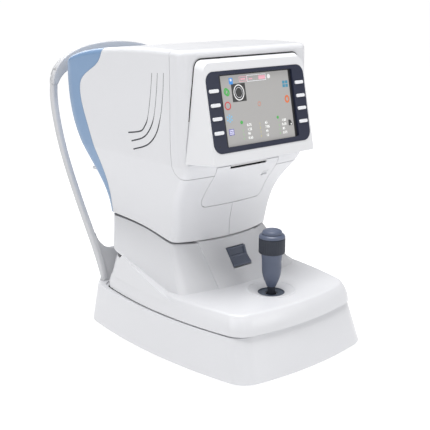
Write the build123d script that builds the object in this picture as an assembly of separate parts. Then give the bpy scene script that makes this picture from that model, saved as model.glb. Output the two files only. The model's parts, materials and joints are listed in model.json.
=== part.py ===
"""Autorefractor: a table-top eye-measuring instrument with a moving head, joystick and headrest.

Frame: +X is the operator's right, +Y points to the patient, +Z is up.  The origin is on the
table, under the centre of the instrument's box.  Units are millimetres.
"""
from build123d import *
from math import atan2, cos, degrees, pi, radians, sin, tan
import os

# ---------------------------------------------------------------- driving dimensions
WALL = 3.0                    # moulded cover thickness
GAP = 0.8                     # seam between two covers

RIM_Z = 64.0                  # top rim of the base
DECK_TOP_Z = 61.5             # flat deck inside the rim
DECK_THICK = 3.0
FOOT_HEIGHT = 4.0
BASE_FRONT_Y, FRONT_BOW = -235.0, 14.4   # chord of the front edge, and how far it bows out
BASE_REAR_Y = 122.0
SHELF_Y = 99.0                # the deck ends here; the headrest stands on the shelf behind it

STAGE_BOTTOM_Z = 66.0         # the cover floats 2 mm above the rim
PLATFORM_Z = 94.0             # joystick platform
STAGE_FRONT_Y, STAGE_REAR_Y = -218.0, 92.0
CREASE_Y, CREASE_Z, CREASE_RISE = -85.0, 89.5, 42.6 / 164.7   # shoulder line climbs to the rear

HEAD_TOP_Z, HEAD_TOP_R = 442.5, 8.0
NECK_GAP = 4.0                # dark gap between riser and head

RAIL_X, RAIL_Z, RAIL_R = 50.0, 70.0, 5.0
CROSS_Z, CROSS_R = 84.0, 3.5
CROSS_YS = (-45.0, -15.0)
RUNNING = 0.05                # radial clearance of every running fit

COLUMN_X, COLUMN_Y, COLUMN_R = 48.0, 25.0, 6.0
SCREW_Y, SCREW_R = 62.0, 5.0

STICK_Y, STICK_PIVOT_Z = -160.0, 80.0
RING_FLUTES = 36
WELL_R = 19.9                 # hole that the stick leans in

SCREEN_TILT = 11.4            # degrees from upright
SCREEN_Y, SCREEN_Z = -132.0, 358.9
BEZEL_W, BEZEL_H, BEZEL_R = 189.2, 111.4, 14.0
LCD_W, LCD_H = 142.0, 99.0
KEY_X, KEY_W, KEY_H = 82.9, 17.2, 4.8
KEY_VS = (29.7, 10.3, -8.1, -27.4)
KEY_PROUD = 1.2

DOOR_HALF_W, DOOR_LOW_Z, DOOR_TOP_Z = 62.0, 209.8, 277.0
ROLL_Y, ROLL_Z, ROLL_R = -54.0, 240.0, 24.0
PLATEN_Y, PLATEN_Z, PLATEN_R = -86.0, 264.0, 6.0
PAPER_HALF_W = 28.5           # standard 57 mm receipt paper

WINDOW_Z, WINDOW_R = 350.0, 24.0

POST_X, POST_W, POST_DEPTH = 120.0, 10.0, 12.0
BOW_Y, BOW_DEPTH = 227.0, 13.0
BOW_SEAM_Z = 369.0
CHIN_Y = 218.0                # axis of the chinrest's stem
CUP_Y = 231.0                 # middle of the chin cup, behind its stem
REAR_Y = 249.4                # back of the forehead pad, the rearmost point

ENTRY_X, ENTRY_Y, ENTRY_Z = (38.0, 102.0), (91.0, 125.5), (18.0, 44.0)
SOCKET_X, SOCKET_Z = (73.0, 97.0), (23.0, 39.0)
ROCKER_AT, ROCKER_PIN_R = (52.0, 119.0, 31.0), 1.5
FOOT_SPOTS = ((-100, -198), (100, -198), (-108, 74), (108, 74))

RAIL_ENDS = (-112.0, 40.0)
CARRIAGE_Y, CARRIAGE_WALL_X = (-60.0, 0.0), (72.0, 79.0)
RISER_TOP = ((-140, 149.5), (-72, 152.5), (-37, 156.2), (-2, 163.3), (54, 169.8), (130, 170.7))
CREASE_TILT = degrees(atan2(CREASE_RISE, 1))
RISER_REAR_Y, RISER_OVERHANG_Y = 88.0, 121.0    # rear at the crease line and at the top
RISER_TOP_Z, RISER_TOP_TILT = 160.0, 6.4     # slanting section just above the riser's top
LEVER_HALF_W, LEVER_PIVOT = 17.5, (-81.0, 140.0)
GIMBAL_PIN_R, SHAFT_R = 2.0, 5.8

# height, half width, front y at the sides, rear y, bow of the front, front and rear radii
NECK_SECTIONS = ((150, 95, -47, 123, 22, 14, 30), (190, 97, -57, 127, 13, 14, 30),
                 (215, 101.5, -64, 135, 13, 14, 32), (245, 109, -83, 152, 10, 14, 36),
                 (268, 115.5, -102, 167, 6, 13, 40), (283, 119.5, -107, 176, 3, 12, 42))
CASE_SECTIONS = ((283, 119.5, -107, 176, 3, 12, 42), (315, 122, -108, 191, 2, 12, 42),
                 (350, 122.5, -107.5, 201, 2, 12, 42), (405, 123.2, -105.5, 203, 2, 12, 42),
                 (450, 124, -103, 203, 2, 12, 42))
HEAD_TOP = ((-140, 441), (-60, HEAD_TOP_Z), (10, 441), (80, 436), (140, 427), (186, 412),
            (214, 392))
TRIM_LINE = ((77, 470), (77, 434), (90, 414), (123, 396), (140, 380), (141.5, 363), (129, 326),
             (109, 269), (102, 225), (102.5, 191), (103, 140))
PILLARS = ((-70, -12), (70, -12), (-70, 76), (70, 76))
HOUSING_BACK_Y = -107.2
HOUSING_TOP_Z, HOUSING_LOW_Z = 429.0, 288.0
RECESS_Y = -106.4             # floor of the shallow recess that the screen housing sits in

POST_REAR = ((110, 68), (134, 114), (163.5, 161), (194, 212), (219.5, 262), (236, 310),
             (241.8, 342), (240, BOW_SEAM_Z))
POST_FOOT_Y = 100.5
WEB_TOP_Z = 108.0
BOW_OUTER = ((POST_X, BOW_SEAM_Z), (109, 399), (80, 420), (42, 430))
BOW_INNER = ((POST_X - POST_W, BOW_SEAM_Z), (95, 387), (68, 397.5), (38, 403))
BOW_TOP_OUT, BOW_TOP_IN = 433.0, 405.0
CHIN_SLEEVE_Z = (128.0, 196.0)

screen = Plane(origin=(0, SCREEN_Y, SCREEN_Z), x_dir=(1, 0, 0),
               z_dir=(0, -cos(radians(SCREEN_TILT)), sin(radians(SCREEN_TILT))))
latch_plane = Plane(origin=(44.3, -97.7, 253), x_dir=(1, 0, 0), z_dir=(0, -0.791, -0.611))


# ---------------------------------------------------------------- helpers
def box(x0, x1, y0, y1, z0, z1):
    """Box between two corners."""
    return Pos((x0 + x1) / 2, (y0 + y1) / 2, (z0 + z1) / 2) * Box(x1 - x0, y1 - y0, z1 - z0)


def rod(axis, r, at, length):
    """Cylinder centred on a point along one of the axes."""
    turn = {"X": Rot(0, 90, 0), "Y": Rot(90, 0, 0), "Z": Rot(0, 0, 0)}[axis]
    return Pos(*at) * turn * Cylinder(r, length)


def upright(x, y, r, z0, z1):
    """Vertical cylinder between two heights."""
    return rod("Z", r, (x, y, (z0 + z1) / 2), z1 - z0)


def mirrored(shape):
    """The shape and its mirror image across the centre plane."""
    return shape + mirror(shape, Plane.YZ)


def across(face, half_width):
    """Extrude a side-view face, drawn with (y, z), over the full width."""
    return extrude(Plane.YZ.offset(-half_width) * face, 2 * half_width)


def outline(z, half_front, half_rear, y_front, y_rear, bows, radii):
    """Plan outline with bowed edges: bows are (front, side, rear), radii are (front, rear)."""
    front, side, rear = bows
    a, b = (-half_front, y_front), (half_front, y_front)
    c, d = (half_rear, y_rear), (-half_rear, y_rear)
    mid_x, mid_y = (half_front + half_rear) / 2 + side, (y_front + y_rear) / 2
    edges = [ThreePointArc(a, (0, y_front - front), b), ThreePointArc(b, (mid_x, mid_y), c),
             ThreePointArc(c, (0, y_rear + rear), d), ThreePointArc(d, (-mid_x, mid_y), a)]
    sketch = make_face(edges)
    sketch = fillet(sketch.vertices().sort_by(Axis.Y)[:2], radii[0])
    sketch = fillet(sketch.vertices().sort_by(Axis.Y)[-2:], radii[1])
    return Pos(0, 0, z) * sketch


def keep(part, tool):
    """Intersection as one shape."""
    return part & tool


# ---------------------------------------------------------------- base
def base_solid(inset, z_low, z_high):
    """Flared base body: the sides lean in to the rim."""
    def section(z):
        t = (z - 3.0) / (RIM_Z - 3.0)
        side, front = 8.4 * t + inset, 20.6 * t + inset
        return outline(z, 125 - side, 138 - side, BASE_FRONT_Y + front, BASE_REAR_Y - side,
                       (FRONT_BOW, 19, 7), (38 - 0.5 * side, 34 - 0.5 * side))
    steps = [z_low, (z_low + z_high) / 2, z_high]
    return loft([section(z) for z in steps])


def make_base_cover():
    body = base_solid(0, 3, RIM_Z)
    body = fillet(body.edges().group_by(Axis.Z)[0], 1.5)
    body -= base_solid(WALL, -1, DECK_TOP_Z - DECK_THICK)
    body -= extrude(outline(DECK_TOP_Z, 112.5, 124, -210.3, SHELF_Y, (14, 17, 1), (31, 26)), 10)
    body -= box(*ENTRY_X, ENTRY_Y[0] - 4, 140, *ENTRY_Z)
    return body


def make_power_entry():
    body = box(ENTRY_X[0] + 0.2, ENTRY_X[1] - 0.2, *ENTRY_Y, ENTRY_Z[0] + 0.2, ENTRY_Z[1] - 0.2)
    body = chamfer(body.edges().group_by(Axis.Y)[-1], 0.8)
    body -= box(*SOCKET_X, ENTRY_Y[1] - 16, 130, *SOCKET_Z)
    x, y, z = ROCKER_AT
    body -= box(x - 6.5, x + 6.5, y - 8, 130, z - 10, z + 10)
    body -= rod("X", ROCKER_PIN_R + RUNNING, (x, y, z), 17)
    mid = (SOCKET_X[0] + SOCKET_X[1]) / 2
    for px, pz in ((mid - 7, 30), (mid, 33), (mid + 7, 30)):
        body += box(px - 1, px + 1, ENTRY_Y[1] - 17, ENTRY_Y[1] - 6, pz - 2, pz + 2)
    return body


def make_power_rocker():
    x, y, z = ROCKER_AT
    side = make_face(Polyline((y - 4, z - 7), (y + 6.5, z - 8.6), (y + 5, z), (y + 8.5, z + 8.2),
                              (y - 4, z + 7), close=True))
    rocker = extrude(Plane.YZ.offset(x - 6.1) * side, 12.2)
    return rocker + rod("X", ROCKER_PIN_R, (x, y, z), 16)


def make_base_plate():
    plate = extrude(outline(4.2, 119.5, 132, -229, 116, (13, 18, 6), (34, 30)), 2)
    for x, y in FOOT_SPOTS:
        plate -= upright(x, y, 2.5, 0, 10)
    return plate


def make_rubber_feet():
    feet = []
    for x, y in FOOT_SPOTS:
        foot = upright(x, y, 13, 0, 4.2)
        foot = chamfer(foot.edges().group_by(Axis.Z)[0], 1)
        feet.append(foot - upright(x, y, 4.5, -1, 2) - upright(x, y, 2.5, -1, 10))
    return Compound(feet)


def make_power_supply():
    board = box(-95, 20, -205, -110, 12, 13.6)
    supply = board + box(-88, -30, -198, -150, 13.6, 44)
    supply += box(-20, 10, -195, -165, 13.6, 38)
    for x in (-80, -60, -40):
        supply += upright(x, -130, 8, 13.6, 40)
    for x, y in ((-91, -201), (16, -201), (-91, -114), (16, -114)):
        supply += upright(x, y, 3, 6.2, 12)
    return supply


def make_rails():
    length = RAIL_ENDS[1] - RAIL_ENDS[0]
    mid = sum(RAIL_ENDS) / 2
    return Compound([rod("Y", RAIL_R, (x, mid, RAIL_Z), length) for x in (-RAIL_X, RAIL_X)])


def make_rail_mounts():
    blocks = []
    for x in (-RAIL_X, RAIL_X):
        for y0 in (RAIL_ENDS[0], RAIL_ENDS[1] - 8):
            block = box(x - 10, x + 10, y0, y0 + 8, DECK_TOP_Z, 77)
            blocks.append(block - rod("Y", RAIL_R, (x, y0 + 4, RAIL_Z), 20))
    return Compound(blocks)


# ---------------------------------------------------------------- carriage
def make_carriage():
    y0, y1 = CARRIAGE_Y
    body = box(-79, 79, y0, y1, 76, 79)
    mid = (y0 + y1) / 2
    for side in (-1, 1):
        x = side * RAIL_X
        body += box(x - 10, x + 10, y0, y1, 62.5, 77)
        body -= rod("Y", RAIL_R + RUNNING, (x, mid, RAIL_Z), 80)
        x0, x1 = sorted(side * v for v in CARRIAGE_WALL_X)
        body += box(x0, x1, y0, y1, 79, 88)
    for y in CROSS_YS:
        body -= rod("X", CROSS_R, (0, y, CROSS_Z), 200)
    return body


def make_cross_rods():
    return Compound([rod("X", CROSS_R, (0, y, CROSS_Z), 158) for y in CROSS_YS])


# ---------------------------------------------------------------- stage
def platform_solid(inset):
    """Low front body of the moving stage, open below."""
    def section(z, extra, front):
        i = inset + extra
        return outline(z, 115.5 - i, 125 - i, STAGE_FRONT_Y + i + front, STAGE_REAR_Y - i,
                       (FRONT_BOW, 18, 3), (34 - 0.5 * i, 34 - 0.5 * i))
    top = PLATFORM_Z - inset
    low = STAGE_BOTTOM_Z if inset == 0 else STAGE_BOTTOM_Z - 5
    body = loft([section(low, 0, 0), section((low + top) / 2, 2.2, 0.6), section(top, 8, 3)])
    if inset == 0:
        body = fillet(body.edges().group_by(Axis.Z)[-1], 5)
    return body


def flank_solid(inset):
    """Shoulders beside the riser: a crease that climbs towards the rear."""
    def section(z, extra):
        i = inset + extra
        return outline(z, 115.5 - i, 125 - i, STAGE_FRONT_Y + i, STAGE_REAR_Y - i,
                       (FRONT_BOW, 18, 3), (34, 34))
    low = STAGE_BOTTOM_Z if inset == 0 else STAGE_BOTTOM_Z - 5
    body = loft([section(low, 0), section(145, 16)])
    end = STAGE_REAR_Y + 20
    rise = (end - CREASE_Y) * CREASE_RISE
    wedge = make_face(Polyline((CREASE_Y - 20, 40), (end, 40), (end, CREASE_Z + rise - inset),
                               (CREASE_Y, CREASE_Z - inset), (CREASE_Y - 20, CREASE_Z - inset - 6),
                               close=True))
    return keep(body, across(wedge, 200))


def below_riser_top(shift):
    """Everything under the riser's curved top line, moved up or down."""
    line = Spline(*[(y, z + shift) for y, z in RISER_TOP])
    rest = Polyline((RISER_TOP[-1][0], RISER_TOP[-1][1] + shift), (RISER_TOP[-1][0], 20),
                    (RISER_TOP[0][0], 20), (RISER_TOP[0][0], RISER_TOP[0][1] + shift))
    return across(make_face([line, rest]), 200)


def tilted_section(tilt, y0, z0, half, y_front, y_rear, bow, radius):
    """Rounded plan outline in a plane that climbs to the rear through (y0, z0)."""
    slant = cos(radians(tilt))
    plane = Plane(origin=(0, y0, z0), x_dir=(1, 0, 0),
                  z_dir=(0, -sin(radians(tilt)), slant))
    v_front, v_rear = (y_front - y0) / slant, (y_rear - y0) / slant
    return plane * outline(0, half, half + 0.5, v_front, v_rear, (bow, 1, 3), (radius, 30))


def riser_solid(inset):
    """Block that carries the head: its sides run from the crease up to the slanting top."""
    rear = RISER_REAR_Y - inset
    foot = tilted_section(CREASE_TILT, CREASE_Y, CREASE_Z - 10, 119.5 - inset, -108 + inset,
                          rear, 20, 18)
    crease = tilted_section(CREASE_TILT, CREASE_Y, CREASE_Z, 119 - inset, -101 + inset,
                            rear, 21, 18)
    top = tilted_section(RISER_TOP_TILT, -42, RISER_TOP_Z, 93.5 - inset, -39 + inset,
                         RISER_OVERHANG_Y - inset, 29, 12)
    body = loft([foot, crease]) + loft([crease, top])
    return keep(body, below_riser_top(-inset))


def make_stage_cover():
    outer = platform_solid(0) + flank_solid(0)
    inner = platform_solid(WALL) + flank_solid(WALL)
    return outer - inner - riser_solid(0) - upright(0, STICK_Y, 34, 80, 100)


def make_riser_cover():
    below = make_face(Polyline((-200, 0), (200, 0), (200, CREASE_Z - 3 + 285 * CREASE_RISE),
                               (CREASE_Y, CREASE_Z - 3), (-200, CREASE_Z - 33), close=True))
    bulge = keep(riser_solid(-2.5), box(-57, 57, -200, 0, 60, 200))
    body = riser_solid(0) + bulge
    body -= riser_solid(WALL)
    body -= across(below, 200)
    body -= platform_solid(0) + flank_solid(0) - riser_solid(0)
    body -= extrude(outline(140, 84, 85, -30, 80, (22, 1, 2), (10, 20)), 50)
    body -= box(-LEVER_HALF_W - 0.8, LEVER_HALF_W + 0.8, -112, -70, 114.5, 142.5)
    return body


def make_lock_lever():
    """Lever hinged along its top edge: two cheeks, and a finger pad with a step between them."""
    y, z = LEVER_PIVOT
    cheek = make_face(Polyline((y - 3, z + 1.5), (y - 8, z - 12), (y - 17.5, z - 20.5),
                               (y - 18.5, z - 24), (y - 10, z - 23.5), (y - 3, z - 15),
                               (y + 2.5, z - 1.5), (y + 2.5, z + 1.5), close=True))
    lever = extrude(Plane.YZ.offset(-LEVER_HALF_W) * cheek, 2 * LEVER_HALF_W)
    lever = fillet(lever.edges().filter_by(Axis.X).group_by(Axis.Y)[0], 1)
    hollow = make_face(Polyline((y - 1, z - 0.5), (y - 4.5, z - 9.5), (y - 30, z - 9.5),
                                (y - 30, z - 0.5), close=True))
    half = LEVER_HALF_W - 3.5
    return lever - extrude(Plane.YZ.offset(-half) * hollow, 2 * half)


def make_stage_chassis():
    body = box(-84, 84, -58, 84, 88.5, 92)
    body += box(-26, 26, -56, -4, 79.6, 88.5)
    for y in CROSS_YS:
        body -= rod("X", CROSS_R + RUNNING, (0, y, CROSS_Z), 60)
    return body


def make_lift_columns():
    return Compound([upright(x, COLUMN_Y, COLUMN_R, 92, 240) for x in (-COLUMN_X, COLUMN_X)])


def make_lift_motor():
    body = box(-18, 18, SCREW_Y - 21, SCREW_Y + 11, 92, 128)
    body = chamfer(body.edges().filter_by(Axis.Z), 4)
    return body - upright(0, SCREW_Y, SCREW_R + RUNNING, 118, 140)


def make_lift_screw():
    return upright(0, SCREW_Y, SCREW_R, 118.5, 240)


def make_neck_sleeve():
    """Dark telescoping sleeve that fills the gap when the head is up."""
    def tube(inset):
        return extrude(outline(134, 81.5 - inset, 82.5 - inset, -29 + inset, 78 - inset,
                               (21, 1, 2), (9, 19)), 60)
    return tube(0) - tube(2)


def make_joystick_dish():
    """Shallow dish sunk in the platform, with a well whose floor has a hole for the shaft."""
    side = make_face(Polyline((8.4, 86.2), (8.4, 87.7), (WELL_R, 87.7), (WELL_R, 90.2), (33, 94),
                              (34.2, 95), (36.5, 94.6), (36.5, 94), (33.9, 94), (33.9, 91),
                              (30, 90.5), (24, 88.5), (24, 86.2), close=True))
    return Pos(0, STICK_Y, 0) * revolve(Plane.XZ * side, Axis.Z)


def make_joystick_bracket():
    y = STICK_Y
    body = box(-26, 26, y - 22, y + 22, 66.5, 69)
    for side in (-1, 1):
        x0, x1 = sorted((side * 18.5, side * 22.5))
        body += box(x0, x1, y - 6, y + 6, 69, 84)
        for dy in (-19, 19):
            body += upright(side * 23, y + dy, 3, 69, 88)
    return body - rod("X", GIMBAL_PIN_R + RUNNING, (0, y, STICK_PIVOT_Z), 60)


def make_joystick_gimbal():
    centre = (0, STICK_Y, STICK_PIVOT_Z)
    ring = upright(0, STICK_Y, 14, STICK_PIVOT_Z - 3, STICK_PIVOT_Z + 3)
    ring += rod("X", GIMBAL_PIN_R, centre, 44)
    ring -= upright(0, STICK_Y, 10.5, 60, 100)
    return ring - rod("Y", GIMBAL_PIN_R + RUNNING, centre, 60)


# ---------------------------------------------------------------- joystick
def turned(profile):
    """Revolve a half profile of (radius, z) points about the stick's axis."""
    return Pos(0, STICK_Y, 0) * revolve(Plane.XZ * make_face(profile), Axis.Z)


def make_joystick_shaft():
    centre = (0, STICK_Y, STICK_PIVOT_Z)
    hub = Pos(*centre) * Sphere(8) + rod("Y", GIMBAL_PIN_R, centre, 28)
    return hub + upright(0, STICK_Y, SHAFT_R, STICK_PIVOT_Z, 104)


def make_joystick_grip():
    """Handle that swells from the shaft to a collar, and the shoulder that holds the button."""
    skin = Spline((6.9, 99.5), (8.5, 103.5), (10.4, 108), (13.1, 116.5), (14.2, 126), (14.6, 141))
    core = Polyline((14.6, 141), (15.3, 147), (15.8, 150.2), (9.5, 150.2), (9.5, 173.9),
                    (19.2, 173.9), (19.3, 175), (18.4, 177.4), (16.4, 179), (14.95, 179),
                    (14.95, 176.4), (7, 176.4), (7, 158), (0, 158), (0, 104), (SHAFT_R, 104),
                    (SHAFT_R, 99.5), (6.9, 99.5))
    return turned([skin, core])


def make_joystick_ring():
    """Knurled ring that runs on the grip's core."""
    ring = turned(Polyline((9.55, 150.8), (18.4, 150.8), (19.3, 151.8), (19.3, 172.6),
                           (18.6, 173.4), (9.55, 173.4), close=True))
    for k in range(RING_FLUTES):
        a = 2 * pi * k / RING_FLUTES
        ring -= upright(19.75 * cos(a), STICK_Y + 19.75 * sin(a), 0.75, 153, 171.5)
    return ring


def make_joystick_button():
    """Domed button as wide as the grip, on a stem that slides in the grip's core."""
    dome = Spline((14.6, 181.5), (13.6, 183.6), (10, 185.5), (5, 186.3), (0, 186.4))
    rest = Polyline((0, 186.4), (0, 171), (6.95, 171), (6.95, 178.6), (14.6, 178.6), (14.6, 181.5))
    return turned([dome, rest]) - upright(0, STICK_Y, 2.2, 165, 178)


# ---------------------------------------------------------------- head
def head_sections(rows, inset):
    return [outline(z, w - inset, w + 0.5 - inset, f + inset, r - inset, (b, 1, 3),
                    (max(rf - inset, 4), rr - inset))
            for z, w, f, r, b, rf, rr in rows]


def head_solid(inset):
    """Outer form of the head and neck, or its hollow when inset by a wall."""
    body = loft(head_sections(NECK_SECTIONS, inset)) + loft(head_sections(CASE_SECTIONS, inset))
    line = Spline(*[(y, z - inset) for y, z in HEAD_TOP])
    low = Polyline((HEAD_TOP[-1][0], HEAD_TOP[-1][1] - inset), (HEAD_TOP[-1][0], 100),
                   (HEAD_TOP[0][0], 100), (HEAD_TOP[0][0], HEAD_TOP[0][1] - inset))
    body = keep(body, across(make_face([line, low]), 200))
    top_edges = body.faces().sort_by(Axis.Z)[-1].edges()
    if inset == 0:
        body = fillet(top_edges, HEAD_TOP_R)
        body -= below_riser_top(NECK_GAP)
    else:
        body = fillet(top_edges, HEAD_TOP_R - inset)
    return body


def behind_trim_line(shift):
    """Region to the rear of the curved edge of the coloured rear cover."""
    points = [(y + shift, z) for y, z in TRIM_LINE]
    curve = [Line(points[0], points[1]), Spline(*points[1:])]
    back = Polyline(points[-1], (260, points[-1][1]), (260, 470), points[0])
    return across(make_face(curve + [back]), 200)


def front_cover_region(shift):
    """Region of the front cover: ahead of a vertical seam that turns forward at the chin."""
    s = shift
    side = make_face([Line((-83 - s, 470), (-79.5 - s, 285)),
                      ThreePointArc((-79.5 - s, 285), (-84 - s, 271), (-98 - s, 263.5 + s)),
                      Polyline((-98 - s, 263.5 + s), (-150, 263.5 + s), (-150, 470),
                               (-83 - s, 470))])
    return across(side, 200)


def door_prism(inset):
    """Front-view outline of the printer door, pushed through the chin."""
    w, low, top = DOOR_HALF_W - inset, DOOR_LOW_Z + inset, DOOR_TOP_Z - inset
    face = make_face(Polyline((-w, low), (w, low), (w, top), (-w, top), close=True))
    corners = face.vertices().sort_by(Axis.Y)[:2]
    face = fillet(corners, 12 - inset)
    return extrude(Plane.XZ.offset(30) * face, 100)


def half_region(sign):
    x0, x1 = sorted((sign * GAP / 2, sign * 200))
    return box(x0, x1, -300, 300, 100, 500)


def make_head_covers():
    """Skins of the head: two side shells, front cover, rear cover and printer door."""
    skin = head_solid(0) - head_solid(WALL)
    window = rod("Y", 36, (0, 200, WINDOW_Z), 60)
    door = keep(skin, door_prism(GAP))
    door -= box(-36, 36, -130, -90, 271.5, 280)
    door -= latch_slab(11.6, -6.2, 4.7, -12, 12)
    rest = skin - door_prism(0)
    front = keep(rest, front_cover_region(GAP))
    front -= housing_neck(0)
    recess = trapezoid(2.2, 13)
    front -= extrude(Plane.XZ.offset(-RECESS_Y) * recess, 20)
    rear = keep(rest, behind_trim_line(GAP)) - window
    sides = rest - front_cover_region(0) - behind_trim_line(0)
    return {"front_cover": front, "rear_cover": rear, "printer_door": door,
            "head_shell_left": keep(sides, half_region(-1)),
            "head_shell_right": keep(sides, half_region(1))}


def make_head_chassis():
    body = box(-78, 78, -20, 84, 204, 208)
    for x in (-COLUMN_X, COLUMN_X):
        body += upright(x, COLUMN_Y, 11, 172, 208)
        body -= upright(x, COLUMN_Y, COLUMN_R + RUNNING, 150, 250)
    body += upright(0, SCREW_Y, 10, 190, 208)
    body -= upright(0, SCREW_Y, SCREW_R + RUNNING, 150, 250)
    for x, y in PILLARS:
        body += upright(x, y, 5, 208, 300)
    return body


def make_optical_bench():
    bench = box(-76, 76, -60, 130, 300, 305)
    for y in (20, 95):
        bench += box(-26, 26, y - 4, y + 4, 305, 352)
        bench -= rod("Y", 22, (0, y, WINDOW_Z), 20)
    return bench


def make_objective_barrel():
    barrel = rod("Y", 22, (0, 75, WINDOW_Z), 150)
    barrel += rod("Y", 26, (0, 147, WINDOW_Z), 6)
    return barrel - rod("Y", 18, (0, 79, WINDOW_Z), 158)


def make_camera_unit():
    body = box(-19, 19, -40, -6, WINDOW_Z - 19, WINDOW_Z + 19)
    body += rod("Y", 12, (0, -3, WINDOW_Z), 6)
    body += box(-10, 10, -30, -16, 305, WINDOW_Z - 19)
    return chamfer(body.edges().filter_by(Axis.Y), 1.5)


def make_window_barrel():
    barrel = rod("Y", 35.6, (0, 185, WINDOW_Z), 40)
    flare = Pos(0, 198, WINDOW_Z) * Rot(-90, 0, 0) * Cone(27, 34, 14.01)
    barrel -= flare
    return barrel - rod("Y", 25.5, (0, 185, WINDOW_Z), 60)


def make_window_glass():
    disc = rod("Y", 25.5, (0, 188, WINDOW_Z), 4)
    return chamfer(disc.edges(), 0.5)


# ---------------------------------------------------------------- display
def screen_slab(width, height, w0, w1, radius, v=0.0, u=0.0):
    """Rounded slab in the screen plane, from depth w0 to w1 along its normal."""
    face = Pos(u, v, w0) * RectangleRounded(width, height, radius)
    return screen * extrude(face, w1 - w0)


def screen_y(z):
    """Front-plane y at a height."""
    return SCREEN_Y - (SCREEN_Z - z) * tan(radians(SCREEN_TILT))


def trapezoid(grow, radius):
    """Front-view outline of the housing: narrow at the top, flaring to the bottom."""
    low, top = HOUSING_LOW_Z - grow, HOUSING_TOP_Z + grow
    face = make_face(Polyline((-117.5 - grow, low), (117.5 + grow, low), (99.5 + grow, top),
                              (-99.5 - grow, top), close=True))
    face = fillet(face.vertices().sort_by(Axis.Y)[:2], 3)
    return fillet(face.vertices().sort_by(Axis.Y)[-2:], radius)


def housing_neck(inset):
    """Narrower rear of the screen housing, which plugs into the front cover."""
    low, top = 297 + inset, 423 - inset
    face = make_face(Polyline((-106 + inset, low), (106 - inset, low), (93 - inset, top),
                              (-93 + inset, top), close=True))
    depth = 9 if inset else 40
    return extrude(Plane.XZ.offset(1 - HOUSING_BACK_Y) * face, -depth)


def make_display_housing():
    """Wedge that brings the screen forward, with flanks that flare towards the bottom."""
    back = Plane(origin=(0, HOUSING_BACK_Y, 0), x_dir=(1, 0, 0), z_dir=(0, -1, 0))
    rear = back * trapezoid(0, 12)
    slant = cos(radians(SCREEN_TILT))
    v_top = (HOUSING_TOP_Z - 4 - SCREEN_Z) / slant
    v_low = (HOUSING_LOW_Z + 1 - SCREEN_Z) / slant
    face = make_face(Polyline((-98.5, v_low), (98.5, v_low), (96, v_top), (-96, v_top),
                              close=True))
    face = fillet(face.vertices().sort_by(Axis.Y)[:2], 3)
    front = screen * fillet(face.vertices().sort_by(Axis.Y)[-2:], 12)
    body = loft([rear, front], ruled=True) + housing_neck(0.6)
    body -= screen_slab(BEZEL_W + 0.4, BEZEL_H + 0.4, -3.2, 5, BEZEL_R + 0.2)
    return body - screen_slab(BEZEL_W - 4, BEZEL_H - 6, -60, 0, 8)


def make_display_bezel():
    bezel = screen_slab(BEZEL_W, BEZEL_H, -3.2, 0.5, BEZEL_R)
    bezel -= screen_slab(LCD_W, LCD_H, -10, 5, 2.5, v=1.0)
    for side in (-1, 1):
        for v in KEY_VS:
            bezel -= screen_slab(KEY_W + 0.5, KEY_H + 0.5, -10, 5, 2.2, v=v, u=side * KEY_X)
    return bezel


def make_lcd_panel():
    return screen_slab(LCD_W + 3, LCD_H + 4, -9, -3.25, 1, v=1.0)


def make_key(side, v):
    stem = screen_slab(KEY_W - 4, KEY_H - 2, -8, -2, 1, v=v, u=side * KEY_X)
    cap = screen_slab(KEY_W, KEY_H, -3, 0.5 + KEY_PROUD, 2.1, v=v, u=side * KEY_X)
    cap = chamfer(cap.faces().sort_by(Axis.Y)[0].edges(), 0.4)
    return cap + stem


# ---------------------------------------------------------------- printer
def make_printer_frame():
    frame = box(-44, 44, -64, -26, 214, 216)
    for side in (-1, 1):
        x0, x1 = sorted((side * 41, side * 44))
        cheek = make_face(Polyline((-64, 214), (-26, 214), (-26, 269), (-91, 269), (-86, 250),
                                   (-78, 240), close=True))
        frame += extrude(Plane.YZ.offset(x0) * cheek, x1 - x0)
    frame -= rod("X", 4 + RUNNING, (0, ROLL_Y, ROLL_Z), 100)
    return frame - rod("X", 2.5 + RUNNING, (0, PLATEN_Y, PLATEN_Z), 100)


def make_paper_roll():
    roll = rod("X", ROLL_R, (0, ROLL_Y, ROLL_Z), 2 * PAPER_HALF_W)
    return roll + rod("X", 4, (0, ROLL_Y, ROLL_Z), 88)


def make_platen_roller():
    roller = rod("X", PLATEN_R, (0, PLATEN_Y, PLATEN_Z), 64)
    return roller + rod("X", 2.5, (0, PLATEN_Y, PLATEN_Z), 88)


def make_tear_bar():
    """Toothed bar above the paper slot."""
    bar = box(-35.5, 35.5, -110.6, -108.2, 274.8, DOOR_TOP_Z)
    for k in range(35):
        bar -= Pos(-34 + 2 * k, -110.6, 275.5) * Rot(0, 0, 45) * Box(1.1, 1.1, 6)
    return bar


def latch_slab(width, v0, v1, w0, w1):
    """Slab lying in the door's surface at the latch."""
    face = Pos(0, (v0 + v1) / 2, w0) * Rectangle(width, v1 - v0)
    return latch_plane * extrude(face, w1 - w0)


def make_door_latch():
    latch = latch_slab(10.8, -4.3, 4.3, -3.2, -0.5)
    return latch + latch_slab(9.6, -4.3, -2.3, -0.5, 1.2)


# ---------------------------------------------------------------- headrest
def make_headrest_post(side):
    """Slender post that leans towards the patient and straightens at eye level."""
    front = [(y - POST_DEPTH - 2 * (1 - (z - 68) / 300), z) for y, z in POST_REAR[1:]]
    front = [(POST_FOOT_Y, 68)] + front
    face = make_face([Spline(*POST_REAR), Line(POST_REAR[-1], front[-1]), Spline(*front[::-1]),
                      Polyline(front[0], (POST_FOOT_Y, RIM_Z), (112, RIM_Z), POST_REAR[0])])
    x0, x1 = sorted((side * (POST_X - POST_W), side * POST_X))
    post = extrude(Plane.YZ.offset(x0) * face, x1 - x0)
    return fillet(post.edges().filter_by(GeomType.BSPLINE), 3)


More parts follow.
